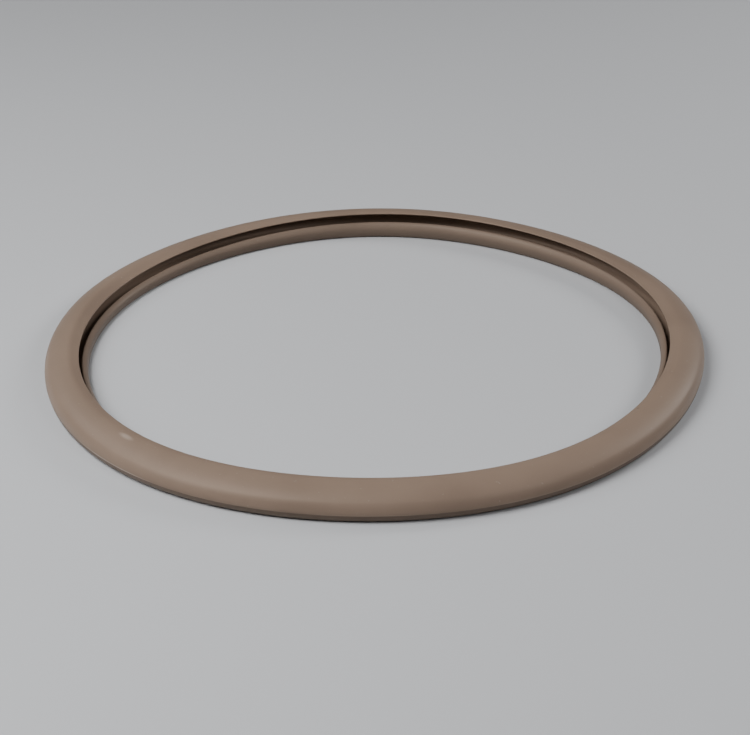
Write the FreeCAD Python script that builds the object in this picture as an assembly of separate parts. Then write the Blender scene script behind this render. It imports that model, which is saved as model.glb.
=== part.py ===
import FreeCAD, Part
import math
import os

# Sealing ring of a stovetop pressure cooker, moulded in one piece from silicone rubber.
# It lies flat as it does on the pot's rim. The origin is the centre of its underside and +Z is up.
# All sizes are in millimetres. The section is drawn in the XZ plane and turned about Z.

# Driving dimensions: the domed back of the section
OUTER_RADIUS = 118.0        # widest radius, at the wall that meets the lid
HEIGHT = 9.6                # underside to the crest of the domed top
BASE_RADIUS = 2.6           # rounding from the underside to the outer wall
WALL_HEIGHT = 0.8           # straight stretch of the outer wall
SHOULDER_RADIUS = 4.6       # tight arc from the outer wall to the dome
CREST_RADIUS = 108.9        # where the dome is highest
CREASE_RADIUS = 107.7       # where the dome ends and the lip's bevel starts

# Driving dimensions: the thin upper lip and the steam groove behind it
LIP_RADIUS = 105.7          # inner edge of the upper lip
LIP_THICKNESS = 0.5         # upper lip at its edge
LIP_HEIGHT = 8.95           # middle of the lip's edge over the underside
BEVEL_SLOPE = 10.5          # degrees that the lip's top falls inwards from the crease
ROOF_SLOPE = 10.5           # degrees that the groove's roof falls outwards from the lip's edge
GROOVE_RADIUS = 112.0       # back wall of the steam groove
GROOVE_FLOOR = 2.6          # height of the groove's floor
GROOVE_CORNER = 1.8         # rounding at the top and foot of the back wall

# Driving dimensions: the upright lower lip
NOSE_RADIUS = 102.7         # inner face of the lower lip, the narrowest place of the hole
NOSE_ROUNDING = 3.1         # upper part of the nose, and the height where that part starts
NOSE_FOOT = 1.6             # rounding from the nose to the underside
RIDGE_ANGLE = 122.0         # degrees over outwards where the nose goes over into the ridge
RIDGE_ROUNDING = 0.5        # ridge along the top of the lower lip
RIDGE_FOOT = 1.2            # rounding from the lower lip's outer side to the groove's floor

JOIN_TOLERANCE = 0.0001     # curves whose ends are closer than this already meet


def point(radius, height):
    """A point of the section at a radius from the axis and a height over the underside."""
    return FreeCAD.Vector(radius, 0, height)


def arc(centre, radius, start_deg, end_deg):
    """An arc of the section, with angles counted from outwards towards up."""
    def on_arc(angle_deg):
        angle = math.radians(angle_deg)
        return point(centre.x + radius * math.cos(angle), centre.z + radius * math.sin(angle))
    middle_deg = (start_deg + end_deg) / 2
    return Part.Arc(on_arc(start_deg), on_arc(middle_deg), on_arc(end_deg)).toShape()


def start_of(edge):
    """The first point of an edge, in the direction that it was drawn."""
    return edge.valueAt(edge.FirstParameter)


def end_of(edge):
    """The last point of an edge, in the direction that it was drawn."""
    return edge.valueAt(edge.LastParameter)


def dome():
    """The rounded foot of the outer wall, the shoulder and the crown.

    The crown is one large arc, level at the crest and tangent to the shoulder.
    """
    wall_top = BASE_RADIUS + WALL_HEIGHT
    reach = OUTER_RADIUS - SHOULDER_RADIUS - CREST_RADIUS
    rise = HEIGHT - wall_top
    crown_radius = (reach ** 2 + rise ** 2 - SHOULDER_RADIUS ** 2) / (2 * (rise - SHOULDER_RADIUS))
    shoulder_centre = point(OUTER_RADIUS - SHOULDER_RADIUS, wall_top)
    crown_centre = point(CREST_RADIUS, HEIGHT - crown_radius)
    blend = math.degrees(math.atan2(shoulder_centre.z - crown_centre.z, shoulder_centre.x - crown_centre.x))
    crease = math.degrees(math.acos((CREASE_RADIUS - CREST_RADIUS) / crown_radius))
    foot = arc(point(OUTER_RADIUS - BASE_RADIUS, BASE_RADIUS), BASE_RADIUS, -90, 0)
    shoulder = arc(shoulder_centre, SHOULDER_RADIUS, 0, blend)
    crown = arc(crown_centre, crown_radius, blend, crease)
    return [foot, shoulder, crown]


def lip_edge():
    """The rounded edge of the upper lip, from its bevelled top to the groove's roof."""
    edge_radius = LIP_THICKNESS / 2
    return arc(point(LIP_RADIUS + edge_radius, LIP_HEIGHT), edge_radius, 90 + BEVEL_SLOPE, 270 - ROOF_SLOPE)


def ridge_centre():
    """Centre of the ridge's arc, which is tangent to the nose from inside."""
    turn = math.radians(RIDGE_ANGLE)
    reach = NOSE_ROUNDING - RIDGE_ROUNDING
    nose_centre = point(NOSE_RADIUS + NOSE_ROUNDING, NOSE_ROUNDING)
    return nose_centre + point(reach * math.cos(turn), reach * math.sin(turn))


def groove(roof_start):
    """The rounded corners of the steam groove: under the roof, at the floor and at the lower lip's side."""
    slope = math.radians(ROOF_SLOPE)
    corner_radius = GROOVE_RADIUS - GROOVE_CORNER
    roof_height = roof_start.z - (corner_radius - roof_start.x) * math.tan(slope)
    under_roof = point(corner_radius, roof_height - GROOVE_CORNER / math.cos(slope))
    at_floor = point(corner_radius, GROOVE_FLOOR + GROOVE_CORNER)
    lip_side = ridge_centre().x + RIDGE_ROUNDING
    at_lip = point(lip_side + RIDGE_FOOT, GROOVE_FLOOR + RIDGE_FOOT)
    return [
        arc(under_roof, GROOVE_CORNER, 90 - ROOF_SLOPE, 0),
        arc(at_floor, GROOVE_CORNER, 0, -90),
        arc(at_lip, RIDGE_FOOT, -90, -180),
    ]


def lower_lip():
    """The ridge of the lower lip, its rounded nose and the nose's foot."""
    nose_centre = point(NOSE_RADIUS + NOSE_ROUNDING, NOSE_ROUNDING)
    foot_centre = point(NOSE_RADIUS + NOSE_FOOT, NOSE_FOOT)
    return [
        arc(ridge_centre(), RIDGE_ROUNDING, 0, RIDGE_ANGLE),
        arc(nose_centre, NOSE_ROUNDING, RIDGE_ANGLE, 180),
        arc(foot_centre, NOSE_FOOT, 180, 270),
    ]


def section():
    """The closed outline: the curves in order, with a straight edge from each to the next where they part."""
    edge = lip_edge()
    curves = dome() + [edge] + groove(end_of(edge)) + lower_lip()
    outline = []
    for curve, following in zip(curves, curves[1:] + curves[:1]):
        outline.append(curve)
        if not end_of(curve).isEqual(start_of(following), JOIN_TOLERANCE):
            outline.append(Part.LineSegment(end_of(curve), start_of(following)).toShape())
    return Part.Wire(outline)


def sealing_ring():
    """The whole ring: its section turned once about the axis."""
    face = Part.Face(section())
    return face.revolve(FreeCAD.Vector(0, 0, 0), FreeCAD.Vector(0, 0, 1), 360)


os.makedirs("parts", exist_ok=True)
ring = sealing_ring()
if not ring.isValid() or len(ring.Solids) != 1:
    raise SystemExit("the ring is not one sound solid")
ring.exportStep("parts/sealing_ring.step")
print("sealing_ring volume mm3", round(ring.Volume, 1))
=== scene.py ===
import math

import bmesh
import bpy
from mathutils import Matrix, Vector


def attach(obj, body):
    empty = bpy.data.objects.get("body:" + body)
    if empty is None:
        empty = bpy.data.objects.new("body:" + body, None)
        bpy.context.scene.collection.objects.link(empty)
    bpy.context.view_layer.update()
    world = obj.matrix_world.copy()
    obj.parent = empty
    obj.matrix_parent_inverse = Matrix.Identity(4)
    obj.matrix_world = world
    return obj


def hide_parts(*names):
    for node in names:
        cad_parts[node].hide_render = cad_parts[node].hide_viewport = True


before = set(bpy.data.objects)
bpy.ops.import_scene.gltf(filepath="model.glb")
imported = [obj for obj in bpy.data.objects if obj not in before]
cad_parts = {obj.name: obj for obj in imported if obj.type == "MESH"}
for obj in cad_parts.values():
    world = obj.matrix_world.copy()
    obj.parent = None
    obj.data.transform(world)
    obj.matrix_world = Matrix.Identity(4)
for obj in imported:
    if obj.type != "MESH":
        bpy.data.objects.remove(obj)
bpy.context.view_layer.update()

# A moulded silicone sealing ring lying on a floor. The ring's sizes are in millimetres, and MM turns them
# into metres. The studio's sizes are in metres. Radii are counted from the ring's axis and heights from its
# underside.
MM = 0.001
TURN_STEPS = 480                # steps of the section around the ring

# The domed back of the section
OUTER_RADIUS = 118.0            # widest radius of the true ring
HEIGHT = 9.6                    # underside to the crest of the dome
BASE_RADIUS = 2.6               # rounding from the underside to the outer wall
WALL_HEIGHT = 0.8               # straight stretch of the outer wall
SHOULDER_RADIUS = 4.6           # tight arc from the outer wall to the dome
CREST_RADIUS = 108.9            # where the dome is highest
CREASE_RADIUS = 107.7           # where the dome ends and the lip's bevel starts
CREASE_ROUNDING = 1.5

# The parting line of the mould, a fine step in the outer wall
PARTING_HEIGHT = 2.92
PARTING_INSET = 0.12            # how far the wall stands back below the line
PARTING_FLASH = 0.02            # how far it stands proud above the line
PARTING_ROUNDING = 0.04         # rounding of the step's edges, and half its height

# The thin upper lip and the steam groove behind it
LIP_RADIUS = 105.7              # inner edge of the upper lip
LIP_THICKNESS = 0.5             # upper lip at its edge
LIP_ROUNDING = 0.24             # rounding of the two corners of its edge
LIP_HEIGHT = 8.95               # middle of the lip's edge
LIP_SLOPE = 10.5                # degrees of the lip's top and of the groove's roof
GROOVE_RADIUS = 112.0           # back wall of the groove
GROOVE_FLOOR = 2.6              # height of the groove's floor
GROOVE_CORNER = 1.8             # rounding at the top and foot of the back wall

# The upright lower lip
NOSE_RADIUS = 102.7             # inner face, the narrowest place of the hole
NOSE_ROUNDING = 3.1             # upper part of the nose, and the height where that part starts
NOSE_FOOT = 1.6                 # rounding from the nose to the underside
RIDGE_ANGLE = 122.0             # degrees over outwards where the nose goes over into the ridge
RIDGE_ROUNDING = 0.5            # ridge along the top of the lower lip
RIDGE_CORNER_HEIGHT = 6.2       # corner that the ridge rounds
RIDGE_FOOT = 1.2                # rounding from the lower lip's outer side to the groove's floor

CORNER_DIGITS = 2               # the section's corners are kept to a hundredth of a millimetre

# How the soft ring lies, as lobes around it: number of lobes, their height (mm) and the direction of one of
# them (degrees). The first lobes push the outline outwards, and the second ones lift the lips.
ROUNDNESS_LOBES = ((3, 0.35, -20), (4, 0.35, 20), (5, 0.5, 15))
LIP_LOBES = ((1, 0.35, -15), (2, 0.8, 75))
LIP_SAG = 0.3                   # how far both lips sag between the lobes (mm)

# The lips start to sag or lift inside of the first radius and do so fully inside of the second one,
# and fully above this height (mm).
LIP_STILL_RADIUS = 110.0
LIP_FREE_RADIUS = 105.7
LIP_FREE_HEIGHT = 5.5

# Small marks on the dome: angle around the ring (degrees), then radius, height, half width across the
# section and half length along the ring (mm).
GLINT_BUMP = (223.0, 110.9, 9.5, 1.4, 4.6)   # raised bump beside the crease, with a pale painted highlight
NICK = (324.6, 106.8, 9.3, 0.9, 0.45)   # short nick by the upper lip's edge, shown only as painted shade
FLASH = (224.0, 118.0, 3.1, 5.0, 22.0)  # stretch of the parting line with the most flash
GLINT_BUMP_RISE = 0.12                       # mm


def arc_corner(centre, rounding, start_deg, end_deg, steps):
    """The corner that an arc rounds: where the tangents at the arc's two ends meet."""
    middle = math.radians((start_deg + end_deg) / 2)
    reach = rounding / math.cos(math.radians((end_deg - start_deg) / 2))
    return (centre[0] + reach * math.cos(middle), centre[1] + reach * math.sin(middle), rounding, steps)


def dome_corners():
    """Corners of the wall's foot, the parting line, the shoulder, the crown and the crease."""
    wall_top = BASE_RADIUS + WALL_HEIGHT
    lower_wall = OUTER_RADIUS - PARTING_INSET
    reach = OUTER_RADIUS - SHOULDER_RADIUS - CREST_RADIUS
    rise = HEIGHT - wall_top
    crown_radius = (reach ** 2 + rise ** 2 - SHOULDER_RADIUS ** 2) / (2 * (rise - SHOULDER_RADIUS))
    crown_centre = (CREST_RADIUS, HEIGHT - crown_radius)
    blend_deg = math.degrees(math.atan2(wall_top - crown_centre[1], reach))
    crease_angle = math.acos((CREASE_RADIUS - CREST_RADIUS) / crown_radius)
    crease_height = crown_centre[1] + crown_radius * math.sin(crease_angle)
    return [
        (lower_wall, 0.0, BASE_RADIUS, 9),
        (lower_wall, PARTING_HEIGHT - PARTING_ROUNDING, PARTING_ROUNDING, 2),
        (OUTER_RADIUS + PARTING_FLASH, PARTING_HEIGHT + PARTING_ROUNDING, PARTING_ROUNDING, 2),
        arc_corner((OUTER_RADIUS - SHOULDER_RADIUS, wall_top), SHOULDER_RADIUS, 0, blend_deg, 14),
        arc_corner(crown_centre, crown_radius, blend_deg, math.degrees(crease_angle), 16),
        (CREASE_RADIUS, crease_height, CREASE_ROUNDING, 3),
    ]


def groove_corners():
    """Corners of the upper lip's edge and of the groove's roof, back wall and floor."""
    slope = math.radians(LIP_SLOPE)
    half_edge = LIP_THICKNESS / 2 / math.cos(slope) - LIP_THICKNESS / 2 * math.tan(slope)
    roof_drop = (GROOVE_RADIUS - LIP_RADIUS) * math.tan(slope)
    return [
        (LIP_RADIUS, LIP_HEIGHT + half_edge, LIP_ROUNDING, 4),
        (LIP_RADIUS, LIP_HEIGHT - half_edge, LIP_ROUNDING, 4),
        (GROOVE_RADIUS, LIP_HEIGHT - half_edge - roof_drop, GROOVE_CORNER, 6),
        (GROOVE_RADIUS, GROOVE_FLOOR, GROOVE_CORNER, 6),
    ]


def lower_lip_corners():
    """Corners of the lower lip's outer side, its ridge, its nose and the nose's foot.

    The ridge's arc touches the nose's arc from inside, and its outermost point is on the lip's outer side.
    """
    nose_centre = (NOSE_RADIUS + NOSE_ROUNDING, NOSE_ROUNDING)
    reach = (NOSE_ROUNDING - RIDGE_ROUNDING) * math.cos(math.radians(RIDGE_ANGLE))
    outer_side = nose_centre[0] + reach + RIDGE_ROUNDING
    return [
        (outer_side, GROOVE_FLOOR, RIDGE_FOOT, 5),
        (outer_side, RIDGE_CORNER_HEIGHT, RIDGE_ROUNDING, 8),
        arc_corner(nose_centre, NOSE_ROUNDING, RIDGE_ANGLE, 180, 12),
        (NOSE_RADIUS, 0.0, NOSE_FOOT, 8),
    ]


def section_corners():
    """All corners from the outer wall's foot up and round to the nose's.

    Each is a radius, a height, a rounding and the number of steps in the rounding.
    """
    corners = dome_corners() + groove_corners() + lower_lip_corners()
    return [tuple(round(value, CORNER_DIGITS) for value in corner) for corner in corners]


def corner_setback(before, corner, after, rounding):
    """Distance from a corner to where a rounding of this radius meets its two edges."""
    turn = (corner - before).angle(after - corner)
    return rounding * math.tan(turn / 2)


def round_section(mesh):
    """The outline of the section in the XZ plane, drawn from its corners and then rounded."""
    corners = section_corners()
    points = [Vector((radius, 0, height)) * MM for radius, height, _, _ in corners]
    verts = [mesh.verts.new(place) for place in points]
    mesh.faces.new(verts)
    for index, (_, _, rounding, steps) in enumerate(corners):
        after = points[(index + 1) % len(points)]
        setback = corner_setback(points[index - 1], points[index], after, rounding * MM)
        bmesh.ops.bevel(mesh, geom=[verts[index]], offset=setback, segments=steps, affect="VERTICES",
                        profile=0.5, material=-1, clamp_overlap=False)
    bmesh.ops.delete(mesh, geom=mesh.faces[:], context="FACES_ONLY")


def lobe_height(lobes, angle):
    """The height of all the lobes together at an angle around the ring, in mm."""
    return sum(height * math.cos(count * (angle - math.radians(direction_deg)))
               for count, height, direction_deg in lobes)


def smooth_step(value):
    """Runs softly from 0 to 1 as the value does."""
    value = min(max(value, 0), 1)
    return value * value * (3 - 2 * value)


def lie_on_floor(mesh):
    """Bends the round ring into the slightly uneven outline of soft rubber that was put down."""
    for vert in mesh.verts:
        angle = math.atan2(vert.co.y, vert.co.x)
        radius = math.hypot(vert.co.x, vert.co.y) / MM
        inward = smooth_step((LIP_STILL_RADIUS - radius) / (LIP_STILL_RADIUS - LIP_FREE_RADIUS))
        upward = min(vert.co.z / MM / LIP_FREE_HEIGHT, 1)
        vert.co.z += (lobe_height(LIP_LOBES, angle) - LIP_SAG) * inward * upward * MM
        vert.co += Vector((math.cos(angle), math.sin(angle), 0)) * lobe_height(ROUNDNESS_LOBES, angle) * MM


def mark_centre(mark):
    """The middle of a small mark."""
    angle_deg, radius, height = mark[:3]
    angle = math.radians(angle_deg)
    return Vector((radius * math.cos(angle), radius * math.sin(angle), height)) * MM


def raise_glint_bump(mesh):
    """Raises the rubber a little at the bump with the painted highlight, most at its middle."""
    half_width, half_length = GLINT_BUMP[3:]
    across_to_x = Matrix.Rotation(-math.radians(GLINT_BUMP[0]), 3, "Z")
    for vert in mesh.verts:
        offset = across_to_x @ (vert.co - mark_centre(GLINT_BUMP)) / MM
        away = math.hypot(offset.x / half_width, offset.y / half_length)
        if abs(offset.z) < half_width:
            vert.co.z += GLINT_BUMP_RISE * MM * smooth_step(1 - away)


def make_ring():
    """The moulded ring: its section spun once about the vertical axis."""
    mesh = bmesh.new()
    round_section(mesh)
    bmesh.ops.spin(mesh, geom=mesh.verts[:] + mesh.edges[:], cent=(0, 0, 0), axis=(0, 0, 1),
                   angle=math.tau, steps=TURN_STEPS, use_merge=True)
    bmesh.ops.remove_doubles(mesh, verts=mesh.verts[:], dist=0.001 * MM)
    bmesh.ops.recalc_face_normals(mesh, faces=mesh.faces[:])
    lie_on_floor(mesh)
    raise_glint_bump(mesh)
    for face in mesh.faces:
        face.smooth = True
    data = bpy.data.meshes.new("sealing_ring_rubber")
    mesh.to_mesh(data)
    mesh.free()
    ring = bpy.data.objects.new("sealing_ring_rubber", data)
    bpy.context.collection.objects.link(ring)
    return ring


# Materials: colours of the rubber

DARK_CLOUDS = (0.238, 0.172, 0.130)
LIGHT_CLOUDS = (0.264, 0.191, 0.144)
DUST = (0.42, 0.38, 0.34)
PAINTED_SHADE_RUBBER = (0.120, 0.090, 0.070)   # painted shade: under the parting line, on the lower lip and in the nick
PALE_FLASH_AND_HIGHLIGHT = (0.42, 0.34, 0.28)        # thin flash on the parting line, and the painted highlight on the raised bump
WARM_SHINE = (1.0, 0.84, 0.70, 1)

# Sizes of the noise in the rubber: waves to the metre, detail and roughness of the noise
CLOUDS = (28, 4, 0.55)
SPECKS = (900, 2, 0.5)
GRAIN = (2400, 3, 0.6)
GRAIN_DEPTH = 0.05                      # mm
GRAIN_STRENGTH = 0.12

# The rubber's finish, the paleness of its painted highlight and the strengths of its painted shade
SHINE = 0.34
ROUGHNESS = (0.42, 0.52)                # from the dark clouds to the light ones
MOST_DUST = 0.35
MOST_CLOUD_FLASH = 0.2                  # flash away from the stretch that has the most
# how pale the painted highlight on the raised bump is
GLINT_PALENESS = 0.7
# strengths of the painted shade at the wall's foot and on the lower lip
FOOT_PAINTED_SHADE = 0.85
LIP_FOOT_PAINTED_SHADE = 0.9
LIP_RIDGE_PAINTED_SHADE = 0.35

# Where one look goes over into the next (mm): radii, then heights
OUTER_HALF = (111.0, 113.0)
# the next three bound the painted shade on the lower lip
INNER_HALF = (105.5, 109.0)
GROOVE_MOUTH = (6.6, 7.6)
LIP_PAINTED_SHADE_HEIGHTS = (1.5, 5.2)
PARTING_FADE = 0.08
FLASH_START = 0.06
FLASH_WIDTH = 0.18                      # flash over the parting line at its full paleness
FLASH_FADE = 0.4


def add(tree, kind, **settings):
    """A new node in a node tree, with its properties set."""
    node = tree.nodes.new(kind)
    for name, value in settings.items():
        setattr(node, name, value)
    return node


def noise(tree, place, scale, detail, roughness):
    """The value of a noise texture at a place."""
    node = add(tree, "ShaderNodeTexNoise")
    node.inputs["Scale"].default_value = scale
    node.inputs["Detail"].default_value = detail
    node.inputs["Roughness"].default_value = roughness
    tree.links.new(place, node.inputs["Vector"])
    return node.outputs["Fac"]


def spread(tree, value, low, high, to_low, to_high):
    """Maps a value's range on to another range, smoothly."""
    node = add(tree, "ShaderNodeMapRange", interpolation_type="SMOOTHSTEP")
    node.inputs["From Min"].default_value = low
    node.inputs["From Max"].default_value = high
    node.inputs["To Min"].default_value = to_low
    node.inputs["To Max"].default_value = to_high
    tree.links.new(value, node.inputs["Value"])
    return node.outputs["Result"]


def combine(tree, operation, first, second):
    """A Math node on two values, each a socket or a number."""
    node = add(tree, "ShaderNodeMath", operation=operation)
    for socket, value in zip(node.inputs, (first, second)):
        if isinstance(value, (int, float)):
            socket.default_value = value
        else:
            tree.links.new(value, socket)
    return node.outputs["Value"]


def mix_colour(tree, mask, under, over):
    """Mixes two colours, each a socket or a colour, by a mask."""
    node = add(tree, "ShaderNodeMix", data_type="RGBA")
    tree.links.new(mask, node.inputs["Factor"])
    for socket, value in ((node.inputs[6], under), (node.inputs[7], over)):
        if isinstance(value, tuple):
            socket.default_value = (*value, 1)
        else:
            tree.links.new(value, socket)
    return node.outputs[2]


def radius_of(tree, place):
    """Distance of a place from the ring's axis."""
    flat = add(tree, "ShaderNodeVectorMath", operation="MULTIPLY")
    flat.inputs[1].default_value = (1, 1, 0)
    tree.links.new(place, flat.inputs[0])
    radius = add(tree, "ShaderNodeVectorMath", operation="LENGTH")
    tree.links.new(flat.outputs["Vector"], radius.inputs[0])
    return radius.outputs["Value"]


def mark_mask(tree, place, mark):
    """1 in the middle of a small mark, fading to 0 at its border."""
    half_width, half_length = mark[3:]
    local = add(tree, "ShaderNodeMapping", vector_type="TEXTURE")
    local.inputs["Location"].default_value = mark_centre(mark)
    local.inputs["Rotation"].default_value = (0, 0, math.radians(mark[0]))
    local.inputs["Scale"].default_value = (half_width * MM, half_length * MM, half_width * MM)
    tree.links.new(place, local.inputs["Vector"])
    away = add(tree, "ShaderNodeVectorMath", operation="LENGTH")
    tree.links.new(local.outputs["Vector"], away.inputs[0])
    return spread(tree, away.outputs["Value"], 0.2, 1.0, 1, 0)


def multiply(tree, first, second):
    """The product of two values, each a socket or a number."""
    return combine(tree, "MULTIPLY", first, second)


def spread_mm(tree, value, range_mm, to_low, to_high):
    """Maps a radius or height between two sizes in mm on to another range."""
    return spread(tree, value, range_mm[0] * MM, range_mm[1] * MM, to_low, to_high)


def lower_lip_painted_shade(tree, radius, height):
    """How much painted shade the lower lip gets: most at its foot, and none above the groove's mouth."""
    inside = spread_mm(tree, radius, INNER_HALF, 1, 0)
    below_mouth = spread_mm(tree, height, GROOVE_MOUTH, 1, 0)
    depth = spread_mm(tree, height, LIP_PAINTED_SHADE_HEIGHTS, LIP_FOOT_PAINTED_SHADE, LIP_RIDGE_PAINTED_SHADE)
    return multiply(tree, multiply(tree, inside, below_mouth), depth)


def foot_painted_shade(tree, height, outer_half):
    """How much painted shade the outer wall gets under the parting line."""
    below = spread_mm(tree, height, (PARTING_HEIGHT - PARTING_FADE, PARTING_HEIGHT), 1, 0)
    return multiply(tree, multiply(tree, below, outer_half), FOOT_PAINTED_SHADE)


def flash_mask(tree, place, height, outer_half, clouds):
    """Thin pale flash just above the parting line, mostly on one stretch of it."""
    bottom = PARTING_HEIGHT - PARTING_ROUNDING
    top = PARTING_HEIGHT + FLASH_WIDTH
    line = multiply(tree, spread_mm(tree, height, (bottom, bottom + FLASH_START), 0, 1),
                    spread_mm(tree, height, (top, top + FLASH_FADE), 1, 0))
    thin_flash = spread(tree, clouds, 0.4, 0.6, 0, MOST_CLOUD_FLASH)
    stretches = combine(tree, "ADD", mark_mask(tree, place, FLASH), thin_flash)
    stretches = combine(tree, "MINIMUM", stretches, 1)
    return multiply(tree, stretches, multiply(tree, line, outer_half))


def rubber_colour(tree, place, clouds):
    """Clouded brown-grey with dust and flash, painted shade on the lower lip, under the parting line and in
    a small nick, and a painted highlight on a small raised bump.
    """
    axes = add(tree, "ShaderNodeSeparateXYZ")
    tree.links.new(place, axes.inputs["Vector"])
    height = axes.outputs["Z"]
    radius = radius_of(tree, place)
    outer_half = spread_mm(tree, radius, OUTER_HALF, 0, 1)
    dust = spread(tree, noise(tree, place, *SPECKS), 0.70, 0.78, 0, MOST_DUST)
    # mask of the painted highlight on the raised bump
    painted_glint = multiply(tree, mark_mask(tree, place, GLINT_BUMP), GLINT_PALENESS)
    colour = mix_colour(tree, spread(tree, clouds, 0.35, 0.65, 0, 1), DARK_CLOUDS, LIGHT_CLOUDS)
    colour = mix_colour(tree, dust, colour, DUST)
    # painted shade on the lower lip, most at its foot
    colour = mix_colour(tree, lower_lip_painted_shade(tree, radius, height), colour, PAINTED_SHADE_RUBBER)
    # painted shade on the outer wall under the parting line
    colour = mix_colour(tree, foot_painted_shade(tree, height, outer_half), colour, PAINTED_SHADE_RUBBER)
    colour = mix_colour(tree, flash_mask(tree, place, height, outer_half, clouds), colour, PALE_FLASH_AND_HIGHLIGHT)
    # pale painted highlight on the raised bump
    colour = mix_colour(tree, painted_glint, colour, PALE_FLASH_AND_HIGHLIGHT)
    # painted shade in the nick
    return mix_colour(tree, mark_mask(tree, place, NICK), colour, PAINTED_SHADE_RUBBER)


def silicone():
    """Warm brown-grey moulded silicone: dull, faintly clouded, with fine grain."""
    material = bpy.data.materials.new("silicone_brown_grey")
    material.use_nodes = True
    tree = material.node_tree
    shader = tree.nodes["Principled BSDF"]
    shader.inputs["Specular IOR Level"].default_value = SHINE
    shader.inputs["Specular Tint"].default_value = WARM_SHINE
    place = add(tree, "ShaderNodeTexCoord").outputs["Object"]
    clouds = noise(tree, place, *CLOUDS)
    tree.links.new(rubber_colour(tree, place, clouds), shader.inputs["Base Color"])
    tree.links.new(spread(tree, clouds, 0.3, 0.7, *ROUGHNESS), shader.inputs["Roughness"])
    bump = add(tree, "ShaderNodeBump")
    bump.inputs["Strength"].default_value = GRAIN_STRENGTH
    bump.inputs["Distance"].default_value = GRAIN_DEPTH * MM
    tree.links.new(noise(tree, place, *GRAIN), bump.inputs["Height"])
    tree.links.new(bump.outputs["Normal"], shader.inputs["Normal"])
    return material


def floor_paint():
    """Plain pale floor."""
    material = bpy.data.materials.new("floor_pale")
    material.use_nodes = True
    shader = material.node_tree.nodes["Principled BSDF"]
    shader.inputs["Base Color"].default_value = (0.62, 0.63, 0.65, 1)
    shader.inputs["Roughness"].default_value = 0.55
    return material


# Studio (m)

FLOOR_HALF_WIDTH = 12
WORLD_STRENGTH = 0.05


def make_floor():
    """A wide plain floor at the height of the ring's underside."""
    mesh = bmesh.new()
    bmesh.ops.create_grid(mesh, x_segments=1, y_segments=1, size=FLOOR_HALF_WIDTH)
    data = bpy.data.meshes.new("floor")
    mesh.to_mesh(data)
    mesh.free()
    floor = bpy.data.objects.new("floor", data)
    floor.data.materials.append(floor_paint())
    bpy.context.collection.objects.link(floor)


def soft_light(name, azimuth_deg, elevation_deg, distance, width, height, watts):
    """A rectangular area light that looks at the ring's centre."""
    azimuth = math.radians(azimuth_deg)
    elevation = math.radians(elevation_deg)
    data = bpy.data.lights.new(name, "AREA")
    data.shape = "RECTANGLE"
    data.size = width
    data.size_y = height
    data.energy = watts
    light = bpy.data.objects.new(name, data)
    flat = Vector((math.cos(azimuth), math.sin(azimuth), 0)) * math.cos(elevation)
    light.location = (flat + Vector((0, 0, math.sin(elevation)))) * distance
    light.rotation_euler = (-light.location).to_track_quat("-Z", "Y").to_euler()
    bpy.context.collection.objects.link(light)


def make_world():
    """Faint even light from all round."""
    world = bpy.data.worlds.new("studio")
    world.use_nodes = True
    world.node_tree.nodes["Background"].inputs["Color"].default_value = (1, 1, 1, 1)
    world.node_tree.nodes["Background"].inputs["Strength"].default_value = WORLD_STRENGTH
    bpy.context.scene.world = world


def make_camera():
    """Looks down at the ring from the front through a long lens, rolled by about one degree."""
    distance = 0.691
    pitch = math.radians(27.4)
    roll = math.radians(1.035)
    aim = Vector((0.00023, -0.01185, 0))
    data = bpy.data.cameras.new("camera")
    data.sensor_width = 36
    data.lens = 93.0
    data.clip_start = 0.01
    camera = bpy.data.objects.new("camera", data)
    bpy.context.collection.objects.link(camera)
    place = aim + Vector((0, -math.cos(pitch), math.sin(pitch))) * distance
    turn = Matrix.Rotation(math.pi / 2 - pitch, 4, "X") @ Matrix.Rotation(-roll, 4, "Z")
    camera.matrix_world = Matrix.Translation(place) @ turn
    bpy.context.scene.camera = camera


make_camera()
make_floor()
make_world()
soft_light("back_left_window", azimuth_deg=150, elevation_deg=40, distance=1.3,
           width=0.5, height=0.5, watts=2.6)
soft_light("left_window", azimuth_deg=206, elevation_deg=54, distance=0.8,
           width=0.45, height=0.45, watts=5.3)
soft_light("front_left_fill", azimuth_deg=200, elevation_deg=30, distance=1.3,
           width=0.5, height=0.5, watts=2.0)
soft_light("right_front_fill", azimuth_deg=320, elevation_deg=36, distance=1.0,
           width=0.3, height=0.3, watts=1.7)
soft_light("right_window", azimuth_deg=28, elevation_deg=27, distance=1.0,
           width=0.3, height=0.3, watts=3.4)

ring = make_ring()
ring.data.materials.append(silicone())
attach(ring, "root")
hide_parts("sealing_ring")
